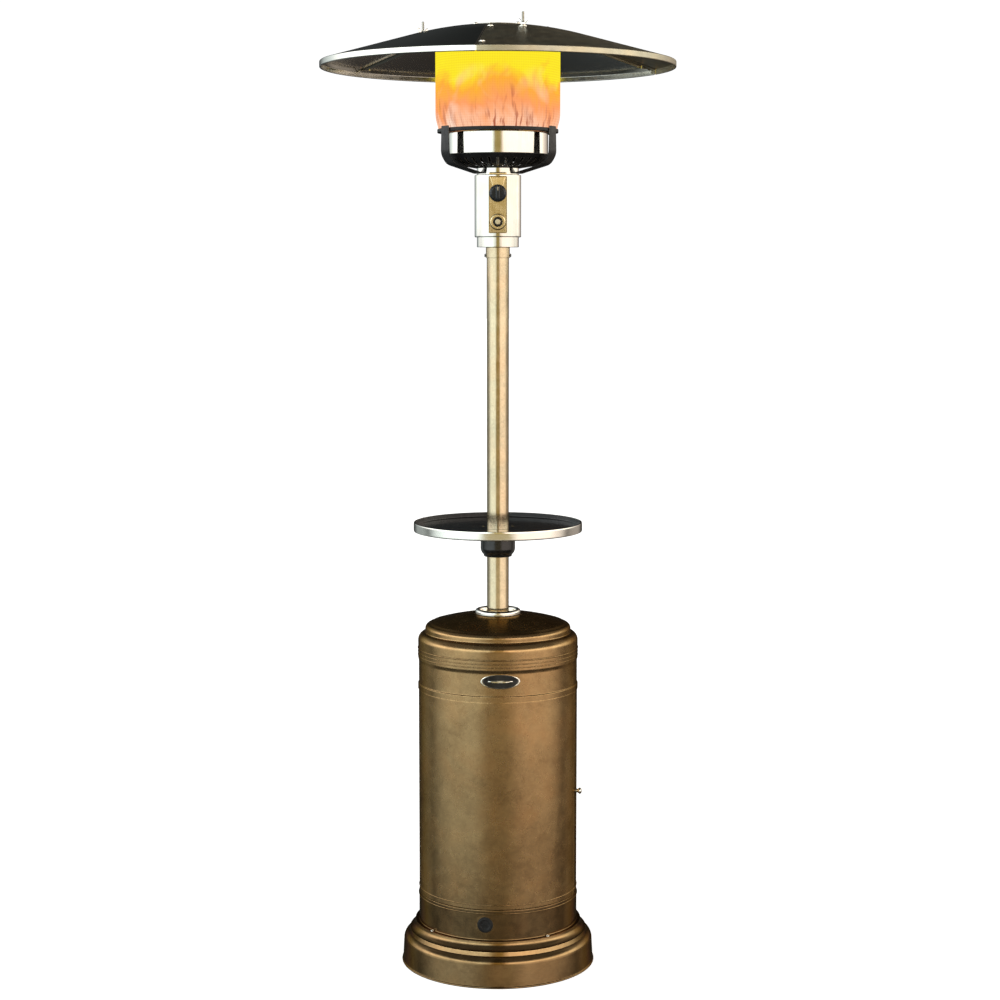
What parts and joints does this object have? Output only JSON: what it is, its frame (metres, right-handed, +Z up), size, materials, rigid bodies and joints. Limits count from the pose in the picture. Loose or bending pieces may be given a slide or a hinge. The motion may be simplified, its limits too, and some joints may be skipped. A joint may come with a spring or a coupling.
{
  "type": "outdoor gas patio heater",
  "caption": "Free-standing gas patio heater with a round base, bottle housing with rear door, pole table, glowing emitter and wide dished reflector.",
  "frame": {"origin": "on the floor at the middle of the base, on the pole axis", "axes": "+Z up along the pole, -Y towards the front with the knob and the badge, +X to the right seen from the front"},
  "size_m": [0.826, 0.826, 2.235],
  "materials": {
    "bronze": "antique bronze metallic paint",
    "pole": "champagne metallic paint",
    "bright_metal": "bright plated",
    "stainless": "polished stainless steel",
    "reflector": "polished sheet",
    "black_metal": "gloss black paint",
    "dark_steel": "dark grey paint",
    "cast_iron": "heat darkened",
    "brass": "turned",
    "black_plastic": "fine grain",
    "tank_plastic": "blow moulded",
    "badge": "gloss black with a bright edge",
    "bottle_paint": "light grey paint",
    "hose_rubber": "smooth",
    "igniter_button": "light button",
    "emitter": "glowing hot screen"
  },
  "bodies": {
    "heater": {"base_shell": "bronze", "base_skirt": "bronze", "hood": "bronze", "trim_ring": "bronze", "front_shell": "bronze", "neck_collar": "bronze", "pole_lower": "pole", "pole_upper": "pole", "control_panel": "pole", "base_screws": "bright_metal", "frame_bolts": "bright_metal", "hinge_pins": "bright_metal", "regulator": "bright_metal", "neck_screws": "bright_metal", "reflector_studs": "bright_metal", "wing_nuts": "bright_metal", "reflector_bolts": "bright_metal", "control_tube": "stainless", "control_cover": "stainless", "burner_drum": "stainless", "mixer_tube": "stainless", "pilot_set": "stainless", "panel_left": "reflector", "panel_right": "reflector", "panel_rear": "reflector", "reflector_cap": "reflector", "burner_bowl": "black_metal", "burner_ring": "black_metal", "head_brackets": "black_metal", "struts": "dark_steel", "post_plate": "dark_steel", "post_flange": "dark_steel", "hinge_fixed": "dark_steel", "pole_sleeve": "dark_steel", "emitter_cap": "dark_steel", "burner_head": "cast_iron", "bottle_valve": "brass", "gas_valve": "brass", "igniter_body": "black_plastic", "tilt_switch": "black_plastic", "ballast_tank": "tank_plastic", "badge": "badge", "gas_bottle": "bottle_paint", "gas_hose": "hose_rubber", "emitter_screen": "emitter"},
    "plug": {"tank_plug": "black_plastic"},
    "door": {"rear_door": "bronze", "hinge_moving": "dark_steel", "door_pull": "bright_metal"},
    "handwheel": {"handwheel": "black_plastic"},
    "nut": {"coupling_nut": "black_plastic"},
    "table": {"table_top": "black_metal", "table_rim": "bright_metal", "table_hub": "black_plastic", "table_screws": "bright_metal"},
    "collar": {"clamp_collar": "black_plastic"},
    "stem": {"valve_stem": "brass"},
    "knob": {"control_knob": "black_plastic"},
    "button": {"igniter_button": "igniter_button"}
  },
  "joints": [
    {"name": "plug_pull", "type": "slide", "parent": "heater", "child": "plug", "axis": [-0.1564, -0.9877, 0], "range_m": [0, 0.03]},
    {"name": "door_swing", "type": "hinge", "parent": "heater", "child": "door", "pos_m": [-0.18457, 0.05467, 0.42], "axis": [0, 0, 1], "range_deg": [0, 110]},
    {"name": "handwheel_turn", "type": "hinge", "parent": "heater", "child": "handwheel", "pos_m": [0, 0, 0.614], "axis": [0, 0, 1], "range_deg": [0, 360]},
    {"name": "nut_turn", "type": "hinge", "parent": "heater", "child": "nut", "pos_m": [0, 0.033, 0.585], "axis": [0, 1, 0], "range_deg": [0, 360]},
    {"name": "table_slide", "type": "slide", "parent": "heater", "child": "table", "axis": [0, 0, 1], "range_m": [-0.1, 0.45]},
    {"name": "collar_turn", "type": "hinge", "parent": "table", "child": "collar", "pos_m": [0, 0, 1.01], "axis": [0, 0, 1], "range_deg": [0, 90]},
    {"name": "knob_turn", "type": "hinge", "parent": "heater", "child": "stem", "pos_m": [0, -0.045, 1.837], "axis": [0, 1, 0], "range_deg": [0, 180]},
    {"name": "knob_push", "type": "slide", "parent": "stem", "child": "knob", "axis": [0, 1, 0], "range_m": [0, 0.003], "stiffness_N_per_m": 500},
    {"name": "igniter_press", "type": "slide", "parent": "heater", "child": "button", "axis": [0, 1, 0], "range_m": [0, 0.006], "stiffness_N_per_m": 600}
  ]
}
